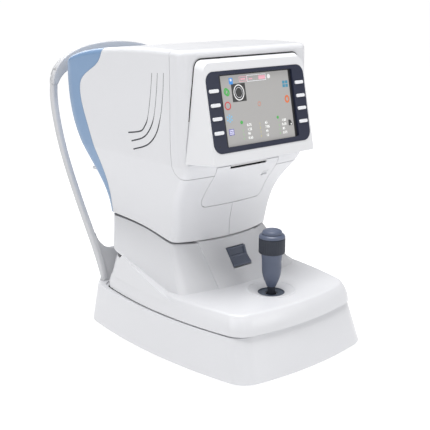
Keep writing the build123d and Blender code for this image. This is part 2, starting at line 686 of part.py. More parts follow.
def web_rear_y(z):
    """Rear face of the leaning web at a height."""
    return 112 + 20.5 * (z - RIM_Z) / (WEB_TOP_Z - RIM_Z)


def make_headrest_crossmember():
    """Leaning web across the base behind the stage, rounded up into both posts."""
    half = POST_X - POST_W
    side = make_face([Line((101, RIM_Z), (web_rear_y(RIM_Z), RIM_Z)),
                      Line((web_rear_y(RIM_Z), RIM_Z), (web_rear_y(160), 160)),
                      Line((web_rear_y(160), 160), (web_rear_y(160) - 11, 160)),
                      Line((web_rear_y(160) - 11, 160), (101, RIM_Z))])
    web = across(side, half)
    hollow = Pos(0, WEB_TOP_Z + 60) * RectangleRounded(2 * half, 120, 28)
    return web - extrude(Plane.XZ.offset(-200) * hollow, 200)


def arch_slab(half_points, top, foot):
    """Slab under a smooth symmetric arch, closed by straight lines down to its foot."""
    left = [(-x, z) for x, z in half_points]
    curve = Spline(*left, (0, top), *half_points[::-1])
    x, z = half_points[0]
    base = Polyline((x, z), (x, z - foot), (-x, z - foot), (-x, z)) if foot else Line((x, z), (-x, z))
    return extrude(Plane.XZ.offset(-BOW_Y - BOW_DEPTH) * make_face([curve, base]), BOW_DEPTH)


def make_headrest_bow():
    """Broad forehead bow: slender at the seams with the posts, deep over the forehead."""
    return arch_slab(BOW_OUTER, BOW_TOP_OUT, 0) - arch_slab(BOW_INNER, BOW_TOP_IN, 5)


def make_forehead_pad():
    pad = box(-48, 48, BOW_Y + BOW_DEPTH + 0.1, REAR_Y, 404, 428)
    return fillet(pad.edges().filter_by(Axis.Y), 9)


def make_chin_column():
    """Arm from the web to a square sleeve that guides the chinrest."""
    z0, z1 = CHIN_SLEEVE_Z
    sleeve = box(-10, 10, CHIN_Y - 8, CHIN_Y + 8, z0 - 6, z1)
    sleeve = fillet(sleeve.edges().filter_by(Axis.Z), 2)
    arm = make_face(Polyline((web_rear_y(72) + 0.02, 72), (124, 72), (130, 90),
                             (CHIN_Y + 4, z0 - 6), (CHIN_Y - 7, z0 + 22), (CHIN_Y - 7, z0 + 2),
                             (web_rear_y(106) + 0.02, 106), close=True))
    column = sleeve + extrude(Plane.YZ.offset(-8) * arm, 16)
    column -= box(-7, 7, CHIN_Y - 5.5, CHIN_Y + 5.5, z0, z1 + 5)
    return column - upright(0, CHIN_Y, 3 + RUNNING, z0 - 4, z1)


def make_chin_screw():
    return upright(0, CHIN_Y, 3, CHIN_SLEEVE_Z[0] - 4, CHIN_SLEEVE_Z[1] - 6)


def make_chinrest():
    """Shallow dished cup that overhangs its square stem towards the patient."""
    stem = box(-6.9, 6.9, CHIN_Y - 5.4, CHIN_Y + 5.4, CHIN_SLEEVE_Z[0] + 4, 212)
    stem -= upright(0, CHIN_Y, 3 + RUNNING, 0, 199)
    plan = make_face([ThreePointArc((-38, CUP_Y - 14), (0, CUP_Y - 20), (38, CUP_Y - 14)),
                      ThreePointArc((38, CUP_Y - 14), (46, CUP_Y), (38, CUP_Y + 13)),
                      ThreePointArc((38, CUP_Y + 13), (0, CUP_Y + 16), (-38, CUP_Y + 13)),
                      ThreePointArc((-38, CUP_Y + 13), (-46, CUP_Y), (-38, CUP_Y - 14))])
    cup = extrude(Pos(0, 0, 208) * plan, 12)
    belly = rod("Y", 92, (0, CUP_Y, 206 + 92), 60)
    dish = rod("Y", 80, (0, CUP_Y, 211 + 80), 60)
    return stem + keep(cup, belly) - dish


# ---------------------------------------------------------------- write the parts
def build_all():
    parts = {
        "base_cover": make_base_cover(), "base_plate": make_base_plate(),
        "rubber_feet": make_rubber_feet(),
        "power_supply": make_power_supply(), "power_entry": make_power_entry(),
        "power_rocker": make_power_rocker(), "fore_aft_rails": make_rails(),
        "rail_mounts": make_rail_mounts(), "carriage": make_carriage(),
        "cross_rods": make_cross_rods(), "stage_chassis": make_stage_chassis(),
        "stage_cover": make_stage_cover(), "riser_cover": make_riser_cover(),
        "neck_sleeve": make_neck_sleeve(), "lift_columns": make_lift_columns(),
        "lift_motor": make_lift_motor(), "lift_screw": make_lift_screw(),
        "lock_lever": make_lock_lever(), "joystick_dish": make_joystick_dish(),
        "joystick_bracket": make_joystick_bracket(), "joystick_gimbal": make_joystick_gimbal(),
        "joystick_shaft": make_joystick_shaft(), "joystick_grip": make_joystick_grip(),
        "joystick_ring": make_joystick_ring(), "joystick_button": make_joystick_button(),
        "head_chassis": make_head_chassis(), "optical_bench": make_optical_bench(),
        "objective_barrel": make_objective_barrel(), "camera_unit": make_camera_unit(),
        "window_barrel": make_window_barrel(), "window_glass": make_window_glass(),
        "display_housing": make_display_housing(),
        "display_bezel": make_display_bezel(), "lcd_panel": make_lcd_panel(),
        "printer_frame": make_printer_frame(), "paper_roll": make_paper_roll(),
        "platen_roller": make_platen_roller(), "tear_bar": make_tear_bar(),
        "door_latch": make_door_latch(), "headrest_post_left": make_headrest_post(-1),
        "headrest_post_right": make_headrest_post(1),
        "headrest_crossmember": make_headrest_crossmember(), "headrest_bow": make_headrest_bow(),
        "forehead_pad": make_forehead_pad(), "chin_column": make_chin_column(),
        "chin_screw": make_chin_screw(), "chinrest": make_chinrest(),
    }
    parts.update(make_head_covers())
    for name, side in (("left", -1), ("right", 1)):
        for number, v in enumerate(KEY_VS, start=1):
            parts[f"key_{name}_{number}"] = make_key(side, v)
    return parts


def main():
    os.makedirs("parts", exist_ok=True)
    for node, shape in build_all().items():
        export_step(shape, f"parts/{node}.step")


main()
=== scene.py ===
"""Looks for the table-top autorefractor: materials, seams, screen picture, soft pad and fine parts.

The frame is the CAD's: +X the operator's right, +Y towards the patient, +Z up, in metres.  The
camera, lights and floor are given in metres, the sizes of added pieces in millimetres.
"""
import json
import math

import bmesh
import bpy
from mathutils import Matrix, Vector
from mathutils.bvhtree import BVHTree


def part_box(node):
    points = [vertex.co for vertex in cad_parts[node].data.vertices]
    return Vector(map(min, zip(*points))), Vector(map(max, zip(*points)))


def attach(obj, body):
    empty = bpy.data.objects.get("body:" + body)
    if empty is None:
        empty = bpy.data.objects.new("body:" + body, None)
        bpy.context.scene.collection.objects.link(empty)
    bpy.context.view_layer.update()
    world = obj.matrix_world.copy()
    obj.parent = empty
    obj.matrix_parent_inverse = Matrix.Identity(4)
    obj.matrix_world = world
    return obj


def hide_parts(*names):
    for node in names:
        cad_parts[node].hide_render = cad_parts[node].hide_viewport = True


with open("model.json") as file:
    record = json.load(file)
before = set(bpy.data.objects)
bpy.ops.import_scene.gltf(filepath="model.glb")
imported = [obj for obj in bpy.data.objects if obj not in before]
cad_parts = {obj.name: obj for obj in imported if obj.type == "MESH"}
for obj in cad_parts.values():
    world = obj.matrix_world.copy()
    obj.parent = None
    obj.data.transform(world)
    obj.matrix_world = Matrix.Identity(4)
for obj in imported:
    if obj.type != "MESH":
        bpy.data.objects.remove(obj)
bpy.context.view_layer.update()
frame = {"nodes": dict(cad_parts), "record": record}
NODES = frame["nodes"]
MM = 0.001

# ------------------------------------------------------------------ camera, floor and light
CAMERA_AT = (-0.84912, -1.00454, 0.53414)
CAMERA_AZIMUTH, CAMERA_DROP = -41.196, 15.306      # degrees
CAMERA_LENS, SENSOR_WIDTH = 72.18, 36.0            # millimetres
CLIP_END = 50.0
WORLD_STRENGTH = 0.30
FLOOR_SIZE = 90.0
FLOOR_GLOW = 0.90                                  # lifts the pale floor to a white background
LIGHT_TARGET = (0, -0.03, 0.25)
LIGHTS = (                                         # name, place, disc size, watts
    ("overhead", (-0.2, -0.15, 2.3), 1.4, 50),
    ("left_key", (-2.0, -0.3, 1.0), 1.0, 5.5),
    ("front_fill", (0.7, -2.0, 0.8), 0.9, 5.5),
    ("rear_fill", (0.5, 1.8, 1.1), 1.2, 8),
)


def add_camera():
    data = bpy.data.cameras.new("camera")
    data.lens = CAMERA_LENS
    data.sensor_width = SENSOR_WIDTH
    data.clip_end = CLIP_END
    camera = bpy.data.objects.new("camera", data)
    camera.location = CAMERA_AT
    camera.rotation_euler = (math.radians(90 - CAMERA_DROP), 0, math.radians(CAMERA_AZIMUTH))
    bpy.context.scene.collection.objects.link(camera)
    bpy.context.scene.camera = camera


def add_area_light(name, place, size, watts):
    data = bpy.data.lights.new(name, "AREA")
    data.shape = "DISK"
    data.size = size
    data.energy = watts
    light = bpy.data.objects.new(name, data)
    light.location = place
    light.rotation_euler = (Vector(LIGHT_TARGET) - Vector(place)).to_track_quat("-Z", "Y").to_euler()
    bpy.context.scene.collection.objects.link(light)


def add_surroundings():
    world = bpy.data.worlds.new("studio")
    world.use_nodes = True
    background = world.node_tree.nodes["Background"]
    background.inputs["Color"].default_value = (1.0, 1.0, 1.0, 1)
    background.inputs["Strength"].default_value = WORLD_STRENGTH
    bpy.context.scene.world = world
    bpy.context.scene.view_settings.view_transform = "Standard"
    for row in LIGHTS:
        add_area_light(*row)
    bpy.ops.mesh.primitive_plane_add(size=FLOOR_SIZE, location=(0, 0, 0))
    floor = bpy.context.object
    floor.name = "floor"
    floor.data.materials.append(make_floor_material())


# ------------------------------------------------------------------ materials
DRIFT_SCALE, POLISH_SCALE = 9.0, 70.0              # slow colour drift, patches of polish
GRAIN_HEIGHT = 0.0002
SMOOTHEST = 0.02
COAT_ROUGHNESS = 0.12
GLASS_INDEX, GLASS_CLEARNESS = 1.5, 0.85
PANEL_GRAIN_SCALE, PANEL_ROUGHNESS = 4000.0, 0.3
RAMP_START, RAMP_END = 0.3, 0.7
MARK_GLOW, FIGURE_GLOW = 0.6, 0.8


def new_material(name):
    material = bpy.data.materials.new(name)
    material.use_nodes = True
    nodes = material.node_tree.nodes
    return material, nodes, material.node_tree.links, nodes["Principled BSDF"]


def object_noise(nodes, links, scale, detail, stretch=(1, 1, 1)):
    """Noise in object space, stretched along an axis for brushed marks."""
    coords = nodes.new("ShaderNodeTexCoord")
    mapping = nodes.new("ShaderNodeMapping")
    mapping.inputs["Scale"].default_value = stretch
    noise = nodes.new("ShaderNodeTexNoise")
    noise.inputs["Scale"].default_value = scale
    noise.inputs["Detail"].default_value = detail
    links.new(coords.outputs["Object"], mapping.inputs["Vector"])
    links.new(mapping.outputs["Vector"], noise.inputs["Vector"])
    return noise


def ramp(nodes, links, source, low, high):
    """Colour ramp between two colours or greys."""
    node = nodes.new("ShaderNodeValToRGB")
    node.color_ramp.elements[0].position = RAMP_START
    node.color_ramp.elements[1].position = RAMP_END
    node.color_ramp.elements[0].color = low
    node.color_ramp.elements[1].color = high
    links.new(source, node.inputs["Fac"])
    return node


def grey(value):
    return (value, value, value, 1)


def shade(colour, factor):
    return tuple(min(1.0, c * factor) for c in colour[:3]) + (1,)


def moulded(name, colour, rough=0.35, grain=0.08, grain_scale=2600, coat=0.0, spread=0.04,
            stretch=(1, 1, 1), metallic=0.0, marks=0.05):
    """Moulded or machined surface: fine grain, slow colour drift and uneven polish."""
    material, nodes, links, shader = new_material(name)
    drift = object_noise(nodes, links, DRIFT_SCALE, 4.0)
    tint = ramp(nodes, links, drift.outputs["Fac"], shade(colour, 1 - spread), shade(colour, 1.0))
    links.new(tint.outputs["Color"], shader.inputs["Base Color"])
    polish = object_noise(nodes, links, POLISH_SCALE, 6.0, stretch)
    rub = ramp(nodes, links, polish.outputs["Fac"], grey(max(rough - marks, SMOOTHEST)),
               grey(rough + marks))
    links.new(rub.outputs["Color"], shader.inputs["Roughness"])
    fine = object_noise(nodes, links, grain_scale, 2.0, stretch)
    bump = nodes.new("ShaderNodeBump")
    bump.inputs["Strength"].default_value = grain
    bump.inputs["Distance"].default_value = GRAIN_HEIGHT
    links.new(fine.outputs["Fac"], bump.inputs["Height"])
    links.new(bump.outputs["Normal"], shader.inputs["Normal"])
    shader.inputs["Metallic"].default_value = metallic
    shader.inputs["Coat Weight"].default_value = coat
    shader.inputs["Coat Roughness"].default_value = COAT_ROUGHNESS
    return material


def make_floor_material():
    material = moulded("floor_paper", (0.30, 0.30, 0.305), rough=0.75, grain=0.05, grain_scale=400)
    shader = material.node_tree.nodes["Principled BSDF"]
    shader.inputs["Emission Color"].default_value = grey(1.0)
    shader.inputs["Emission Strength"].default_value = FLOOR_GLOW
    return material


def make_glass(name, tint):
    material, nodes, links, shader = new_material(name)
    smear = object_noise(nodes, links, 40.0, 5.0)
    rub = ramp(nodes, links, smear.outputs["Fac"], grey(SMOOTHEST), grey(0.08))
    links.new(rub.outputs["Color"], shader.inputs["Roughness"])
    shader.inputs["Base Color"].default_value = tint
    shader.inputs["Transmission Weight"].default_value = GLASS_CLEARNESS
    shader.inputs["IOR"].default_value = GLASS_INDEX
    shader.inputs["Coat Weight"].default_value = 0.6
    return material


def glowing(name, colour, strength=FIGURE_GLOW):
    """A lit screen colour with the panel's fine grain."""
    material, nodes, links, shader = new_material(name)
    grain = object_noise(nodes, links, PANEL_GRAIN_SCALE, 1.0)
    tint = ramp(nodes, links, grain.outputs["Fac"], shade(colour, 0.94), shade(colour, 1.0))
    links.new(tint.outputs["Color"], shader.inputs["Base Color"])
    links.new(tint.outputs["Color"], shader.inputs["Emission Color"])
    shader.inputs["Emission Strength"].default_value = strength
    shader.inputs["Roughness"].default_value = PANEL_ROUGHNESS
    return material


WHITE = moulded("white_shell", (0.735, 0.74, 0.765), rough=0.33, grain=0.10, coat=0.12,
                spread=0.02)
ARCH = moulded("arch_white", (0.60, 0.605, 0.625), rough=0.36, grain=0.10, coat=0.1,
               spread=0.02)
SCREEN_WHITE = moulded("screen_surround_white", (0.77, 0.775, 0.795), rough=0.33, grain=0.06,
                       coat=0.1, spread=0.01, marks=0.012)
BLUE = moulded("trim_blue", (0.20, 0.325, 0.52), rough=0.34, grain=0.12, coat=0.15, spread=0.06)
BEZEL = moulded("bezel_dark", (0.020, 0.025, 0.052), rough=0.3, grain=0.03, coat=0.25,
                spread=0.08, marks=0.012)
KEYCAP = moulded("key_white", (0.84, 0.85, 0.88), rough=0.4, grain=0.12, spread=0.02)
SLATE = moulded("slate_lever", (0.125, 0.145, 0.20), rough=0.4, grain=0.35, grain_scale=1500,
                spread=0.12)
GRIP = moulded("joystick_blue", (0.10, 0.122, 0.185), rough=0.38, grain=0.3, grain_scale=1500,
               spread=0.12)
# Blue-grey painted shade for the floor and wall of the joystick's well.
WELL_SHADE = moulded("well_shade_blue_grey", (0.10, 0.125, 0.17), rough=0.5, grain=0.3, spread=0.1)
RING = moulded("joystick_rubber", (0.024, 0.030, 0.047), rough=0.55, grain=0.5,
               grain_scale=1100, spread=0.2)
CHIN = moulded("chin_grey", (0.66, 0.67, 0.69), rough=0.42, grain=0.15, spread=0.03)
STEEL = moulded("steel", (0.56, 0.56, 0.57), rough=0.3, grain=0.25, grain_scale=500,
                stretch=(1, 0.05, 1), metallic=1.0)
ALUMINIUM = moulded("aluminium", (0.70, 0.71, 0.73), rough=0.42, grain=0.3, grain_scale=900,
                    metallic=1.0)
BLACK = moulded("black_plastic", (0.02, 0.02, 0.023), rough=0.45, grain=0.4, grain_scale=1200,
                spread=0.2)
# Black rubber for the rubber parts, and also the near-black painted shade in the screen's gap and on
# the deck under the stage.
RUBBER_AND_PAINTED_SHADE = moulded("rubber_black", (0.016, 0.016, 0.017), rough=0.75, grain=0.6, grain_scale=900,
                 spread=0.25)
# Near-black: the neck sleeve, dark to give painted shade in the gap under the head, and the painted
# shade in the flank grooves.
SLEEVE_AND_GROOVE_SHADE = moulded("sleeve_dark", (0.030, 0.033, 0.042), rough=0.5, grain=0.25, spread=0.2)
GREEN = moulded("board_green", (0.02, 0.12, 0.05), rough=0.4, grain=0.5, grain_scale=700)
PAPER = moulded("paper_white", (0.86, 0.86, 0.84), rough=0.85, grain=0.3, grain_scale=1800)
SILICONE = moulded("pad_silicone", (0.60, 0.62, 0.65), rough=0.6, grain=0.3, grain_scale=900)
GLASS = make_glass("lens_glass", (0.75, 0.85, 0.9, 1))
PANEL = glowing("screen_grey", (0.30, 0.295, 0.29), 0.55)

FINISH = {
    "shell_white": WHITE, "trim_blue": BLUE, "bezel_dark": BEZEL, "screen_face": BLACK,
    "key_white": KEYCAP, "lever_slate": SLATE, "joystick_blue": GRIP, "joystick_dark": RING,
    "chin_grey": CHIN, "steel": STEEL, "aluminium": ALUMINIUM, "rubber_black": RUBBER_AND_PAINTED_SHADE,
    "board_green": GREEN, "paper_white": PAPER, "black_plastic": BLACK,
    "sleeve_dark": SLEEVE_AND_GROOVE_SHADE, "pad_soft": SILICONE, "lens_glass": GLASS,
}
SPECIAL = {"display_housing": SCREEN_WHITE, "door_latch": CHIN,
           "headrest_post_left": ARCH, "headrest_post_right": ARCH}


def dress_cad():
    """Give every carried-over CAD node its finish."""
    for row in frame["record"]["subparts"]:
        node = NODES[row["node"]]
        material = SPECIAL.get(row["node"], FINISH[row["material_slot"]])
        node.data.materials.clear()
        node.data.materials.append(material)


# ------------------------------------------------------------------ mesh helpers
def add_bmesh(name, bm, material, body, smooth=False):
    """New piece from a bmesh, riding on a body."""
    bmesh.ops.recalc_face_normals(bm, faces=bm.faces)
    mesh = bpy.data.meshes.new(name)
    bm.to_mesh(mesh)
    bm.free()
    piece = bpy.data.objects.new(name, mesh)
    bpy.context.scene.collection.objects.link(piece)
    mesh.materials.append(material)
    for polygon in mesh.polygons:
        polygon.use_smooth = smooth
    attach(piece, body)
    return piece


CORNER_STEPS = 5


def rounded_rectangle(width, height, radius):
    """Points round a rectangle with arc corners, anticlockwise."""
    points = []
    corners = ((1, 1, 0), (-1, 1, 90), (-1, -1, 180), (1, -1, 270))
    for sx, sy, start in corners:
        cx, cy = sx * (width / 2 - radius), sy * (height / 2 - radius)
        for k in range(CORNER_STEPS + 1):
            a = math.radians(start + 90 * k / CORNER_STEPS)
            points.append((cx + radius * math.cos(a), cy + radius * math.sin(a)))
    return points


def tube_rings(bm, rings, closed=False):
    """Skin a list of point rings of equal length; caps the ends unless closed."""
    layers = [[bm.verts.new(p) for p in ring] for ring in rings]
    pairs = list(zip(layers, layers[1:]))
    if closed:
        pairs.append((layers[-1], layers[0]))
    count = len(layers[0])
    for a, b in pairs:
        for k in range(count):
            n = (k + 1) % count
            bm.faces.new((a[k], a[n], b[n], b[k]))
    if not closed:
        bm.faces.new(layers[0][::-1])
        bm.faces.new(layers[-1])


def circle(radius, count):
    """Points round a circle about the origin, anticlockwise."""
    turns = [2 * math.pi * k / count for k in range(count)]
    return [(radius * math.cos(a), radius * math.sin(a)) for a in turns]


def smooth_points(points, steps):
    """Catmull-Rom curve through points, with a number of steps from each to the next."""
    out = []
    padded = [points[0]] + list(points) + [points[-1]]
    for i in range(1, len(padded) - 2):
        p0, p1, p2, p3 = (Vector(p) for p in padded[i - 1:i + 3])
        for k in range(steps):
            t = k / steps
            out.append(0.5 * ((2 * p1) + (p2 - p0) * t + (2 * p0 - 5 * p1 + 4 * p2 - p3) * t * t
                              + (3 * p1 - p0 - 3 * p2 + p3) * t ** 3))
    out.append(Vector(points[-1]))
    return out


def surface_tree(name):
    """Ray-cast tree over a CAD node."""
    mesh = NODES[name].data
    vertices = [v.co.copy() for v in mesh.vertices]
    return BVHTree.FromPolygons(vertices, [list(p.vertices) for p in mesh.polygons])


# ------------------------------------------------------------------ screen picture
SCREEN_TILT = math.radians(11.4)
BEZEL_MID_DEPTH = 1.35                             # the bezel's middle lies this far behind its face
FACE_DEPTH = -3.0                                  # the lit face, out of the bezel's plane
LIT_WIDTH, LIT_HEIGHT, LIT_SHIFT = 131.6, 97.4, 0.4
LIT_THICKNESS, LIT_CORNER = 0.2, 0.8
INK, THIN_INK = 0.05, 0.04                         # thickness of a mark, of a fine line
LOW_MARK = FACE_DEPTH + 0.05                       # marks lie in three layers over the face
MID_MARK = LOW_MARK + 0.06
TOP_MARK = LOW_MARK + 0.12
FIGURE_DEPTH = FACE_DEPTH + 0.12
RING_STEPS, DISC_STEPS = 28, 20
MARK_COLOURS = {
    "blue": (0.05, 0.22, 0.55), "pink": (0.62, 0.32, 0.38), "pale": (0.75, 0.76, 0.80),
    "green": (0.06, 0.30, 0.07), "charcoal": (0.035, 0.035, 0.035),
    "white": (0.62, 0.62, 0.62), "red": (0.42, 0.05, 0.05), "cyan": (0.16, 0.36, 0.52),
    "violet": (0.13, 0.12, 0.33), "teal": (0.05, 0.20, 0.30), "orange": (0.50, 0.13, 0.05),
}
FIRST_ROW, ROW_STEP = -23.5, 6.0                   # rows of figures, from the top one down
READING_SIZE, COUNT_SIZE = 5.0, 4.2
READINGS = ((-27.0, ("0.75", "1.25", "90", "0.50")), (8.0, ("63", "7.85", "45", "12")),
            (42.0, ("1.00", "0.25", "85", "0.75")))
GREEN_COUNTS, YELLOW_COUNTS = (-36.0, 35.0), (-3.0,)
COUNT_ROWS = 4


def screen_frame():
    """Origin and axes of the bezel's reference plane, from the bezel's own box."""
    low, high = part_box("display_bezel")
    up = Vector((0, math.sin(SCREEN_TILT), math.cos(SCREEN_TILT)))
    normal = Vector((0, -math.cos(SCREEN_TILT), math.sin(SCREEN_TILT)))
    centre = (Vector(low) + Vector(high)) / 2 + normal * (BEZEL_MID_DEPTH * MM)
    return centre, up, normal


SCREEN_CENTRE, SCREEN_UP, SCREEN_OUT = screen_frame()


def on_screen(u, v, w):
    """Point in screen millimetres: right, up and out of the bezel plane."""
    return SCREEN_CENTRE + Vector((u * MM, 0, 0)) + SCREEN_UP * (v * MM) + SCREEN_OUT * (w * MM)


def plate(bm, outline, w, thickness=INK):
    """Thin plate with a given outline in screen millimetres."""
    tube_rings(bm, [[on_screen(u, v, w) for u, v in outline],
                    [on_screen(u, v, w + thickness) for u, v in outline]])


def moved(outline, u, v):
    return [(a + u, b + v) for a, b in outline]


def rectangle(u, v, width, height):
    return [(u - width / 2, v - height / 2), (u + width / 2, v - height / 2),
            (u + width / 2, v + height / 2), (u - width / 2, v + height / 2)]


def frame_strips(bm, u, v, width, height, line):
    """Hollow box drawn with four strips."""
    for du in (-width / 2, width / 2):
        plate(bm, rectangle(u + du, v, line, height + line), LOW_MARK)
    for dv in (-height / 2, height / 2):
        plate(bm, rectangle(u, v + dv, width - line, line), LOW_MARK)


def ring_shape(bm, u, v, radius, line, w, stretch=1.0):
    """Flat ring, round or stretched upright."""
    rows = []
    for c, s in circle(1.0, RING_STEPS):
        inner, outer = radius - line / 2, radius + line / 2
        near, far = (u + inner * c, v + inner * s * stretch), (u + outer * c, v + outer * s * stretch)
        rows.append([on_screen(*near, w), on_screen(*far, w),
                     on_screen(*far, w + INK), on_screen(*near, w + INK)])
    tube_rings(bm, rows, closed=True)


def disc_shape(bm, u, v, radius, w=LOW_MARK, stretch=1.0):
    plate(bm, [(u + c, v + s * stretch) for c, s in circle(radius, DISC_STEPS)], w)


def draw_top_row(ink):
    """A blue icon, pink and pale boxes with bars in them, and a white disc."""
    plate(ink["blue"], moved(rounded_rectangle(7, 9, 1), -47, 41), LOW_MARK)
    plate(ink["white"], rectangle(-47, 42.6, 3, 3.4), MID_MARK, THIN_INK)
    frame_strips(ink["pink"], -24, 42.5, 14, 6.4, 0.7)
    plate(ink["pink"], rectangle(-24, 42.5, 9, 2.0), LOW_MARK)
    plate(ink["pink"], rectangle(-9.5, 41.8, 7, 1.5), LOW_MARK)
    frame_strips(ink["pale"], 2, 42.5, 36, 8.2, 0.5)
    plate(ink["pink"], rectangle(12.5, 42.6, 13, 5.2), LOW_MARK)
    disc_shape(ink["white"], 26, 42.8, 3.2)


def draw_eye_view(ink):
    """Small dark inset with a target ring and a pale disc outline."""
    plate(ink["charcoal"], rectangle(-34.5, 24.5, 26, 25), LOW_MARK)
    ring_shape(ink["white"], -34.5, 24.5, 9.3, 1.3, MID_MARK, 1.12)
    disc_shape(ink["pale"], -34.5, 24.5, 6.6, MID_MARK, 1.1)
    disc_shape(ink["charcoal"], -34.5, 24.5, 6.2, TOP_MARK, 1.1)


def draw_left_icons(ink):
    """Two green rings, a red ring, a cyan flower and a violet grid, from the top down."""
    for k in range(2):
        ring_shape(ink["green"], -58 + 2 * k, 27.5 - 1.5 * k, 3.4, 1.8, LOW_MARK + 0.02 * k, 1.2)
    ring_shape(ink["red"], -58, 8, 5.0, 1.7, LOW_MARK)
    for k in range(6):
        a = math.pi * k / 3 + math.pi / 6
        disc_shape(ink["cyan"], -57.5 + 4.4 * math.cos(a), -9.5 + 4.4 * math.sin(a), 1.4)
    disc_shape(ink["cyan"], -57.5, -9.5, 2.0)
    plate(ink["violet"], rectangle(-57, -28.5, 9.5, 8.6), LOW_MARK)
    for shift in (-2.4, 0, 2.4):
        plate(ink["pale"], rectangle(-57 + shift, -28.5, 0.5, 7), MID_MARK, THIN_INK)
        plate(ink["pale"], rectangle(-57, -28.5 + shift, 7.6, 0.5), MID_MARK, THIN_INK)


def draw_right_icons(ink):
    """Four teal squares, an orange ring and a dark shape with a white dot, from the top down."""
    for du, dv in ((-3, 2.6), (3, 2.6), (-3, -2.6), (3, -2.6)):
        plate(ink["teal"], rectangle(57.5 + du, 29.5 + dv, 5, 4.2), LOW_MARK)
    ring_shape(ink["orange"], 58, 7.5, 3.6, 2.4, LOW_MARK, 1.2)
    plate(ink["charcoal"], [(55, -31), (63, -31), (63, -28.5), (59.5, -23), (55.5, -22.5)],
          LOW_MARK)
    disc_shape(ink["white"], 60.5, -29.2, 1.3, MID_MARK)


def draw_targets(ink):
    """Centre target and the two green dots below it."""
    ring_shape(ink["orange"], 1.5, 5.5, 2.6, 0.6, LOW_MARK, 1.1)
    disc_shape(ink["green"], -36.5, -17, 2.6)
    disc_shape(ink["green"], 34.5, -17, 2.2)


def add_numbers(name, rows, material):
    """Columns of plain figures on the screen: (text, u, v, height)."""
    bm = bmesh.new()
    for text, u, v, height in rows:
        curve = bpy.data.curves.new("figures", "FONT")
        curve.body = text
        curve.size = height
        maker = bpy.data.objects.new("figures", curve)
        bpy.context.scene.collection.objects.link(maker)
        bpy.context.view_layer.update()
        flat = bpy.data.meshes.new_from_object(
            maker.evaluated_get(bpy.context.evaluated_depsgraph_get()))
        for vertex in flat.vertices:
            vertex.co = on_screen(u + vertex.co.x, v + vertex.co.y, FIGURE_DEPTH)
        bm.from_mesh(flat)
        bpy.data.objects.remove(maker)
        bpy.data.meshes.remove(flat)
    add_bmesh(name, bm, material, "head")


def count_rows(columns):
    """The figures 1 to 4 down each of some columns."""
    return [(str(row + 1), u, FIRST_ROW - ROW_STEP * row, COUNT_SIZE)
            for u in columns for row in range(COUNT_ROWS)]


def add_screen_figures():
    readings = [(text, u, FIRST_ROW - ROW_STEP * row, READING_SIZE)
                for u, texts in READINGS for row, text in enumerate(texts)]
    add_numbers("screen_figures_white", readings, glowing("figures_white", (0.85, 0.86, 0.85)))
    add_numbers("screen_figures_green", count_rows(GREEN_COUNTS),
                glowing("figures_green", (0.16, 0.42, 0.12)))
    add_numbers("screen_figures_yellow", count_rows(YELLOW_COUNTS),
                glowing("figures_yellow", (0.45, 0.40, 0.05)))


def add_screen_picture():
    """The lit panel with a generic measuring display: icons, target rings and figures."""
    panel = bmesh.new()
    outline = moved(rounded_rectangle(LIT_WIDTH, LIT_HEIGHT, LIT_CORNER), 0, LIT_SHIFT)
    plate(panel, outline, FACE_DEPTH - LIT_THICKNESS, LIT_THICKNESS)
    add_bmesh("screen_lit_panel", panel, PANEL, "head")
    ink = {colour: bmesh.new() for colour in MARK_COLOURS}
    for draw in (draw_top_row, draw_eye_view, draw_left_icons, draw_right_icons, draw_targets):
        draw(ink)
    for colour, bm in ink.items():
        material = glowing("screen_" + colour, MARK_COLOURS[colour], MARK_GLOW)
        add_bmesh("screen_marks_" + colour, bm, material, "head")
    add_screen_figures()


# ------------------------------------------------------------------ seams and grooves on the head
# The flank's three grooves: distance back from the frame's middle, drop below the shell's top.
GROOVES = (
    ((-43.6, 33.5), (-38.5, 64.5), (-31.2, 96.5), (-24, 109.5), (-13, 118.5), (17, 124.5)),
    ((-56.1, 32.5), (-52, 62.5), (-45.2, 94.5), (-35, 113.5), (-19, 127), (10, 136)),
    ((-69.5, 31.5), (-66.5, 61.5), (-60.1, 93), (-49, 118.5), (-28, 136.5), (6.9, 147.8)),
)
GROOVE_STEPS = 8
GROOVE_THIN, GROOVE_WIDENING = 0.35, 0.65          # half width above, and what the turn adds
GROOVE_TURN, GROOVE_TAPER = 0.38, 9                # where it widens, and how fast
GROOVE_PROUD, GROOVE_DEPTH = 0.12, 0.9             # out of the flank, and from there inwards
RAY_START = 200.0                                  # well outside the flank


def groove_rings(path, side, top, tree):
    """Cross-sections of one groove, laid on the flank by rays from outside."""
    points = smooth_points([(y * MM, top - drop * MM) for y, drop in path], GROOVE_STEPS)
    last = len(points) - 1
    inward = Vector((-side, 0, 0))
    deep = inward * (GROOVE_DEPTH * MM)
    rings = []
    for k, (y, z) in enumerate(points):
        ahead = (points[min(k + 1, last)] - points[max(k - 1, 0)]).normalized()
        across = Vector((0, -ahead.y, ahead.x))
        widening = min(1, max(0, (k / last - GROOVE_TURN) * GROOVE_TAPER))
        edge = across * ((GROOVE_THIN + GROOVE_WIDENING * widening) * MM)
        hit = tree.ray_cast(Vector((side * RAY_START * MM, y, z)), inward)[0]
        centre = Vector((hit.x, y, z)) - inward * (GROOVE_PROUD * MM)
        rings.append([centre - edge, centre + edge, centre + edge + deep, centre - edge + deep])
    return rings


def add_side_grooves():
    """Three curved grooves on each flank, thin above and broader where they turn back, drawn as
    near-black strips of painted shade.
    """
    for name, side in (("left", -1), ("right", 1)):
        shell = "head_shell_" + name
        tree = surface_tree(shell)
        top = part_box(shell)[1][2]
        bm = bmesh.new()
        for path in GROOVES:
            tube_rings(bm, groove_rings(path, side, top, tree))
        add_bmesh("side_groove_shade_" + name, bm, SLEEVE_AND_GROOVE_SHADE, "head")


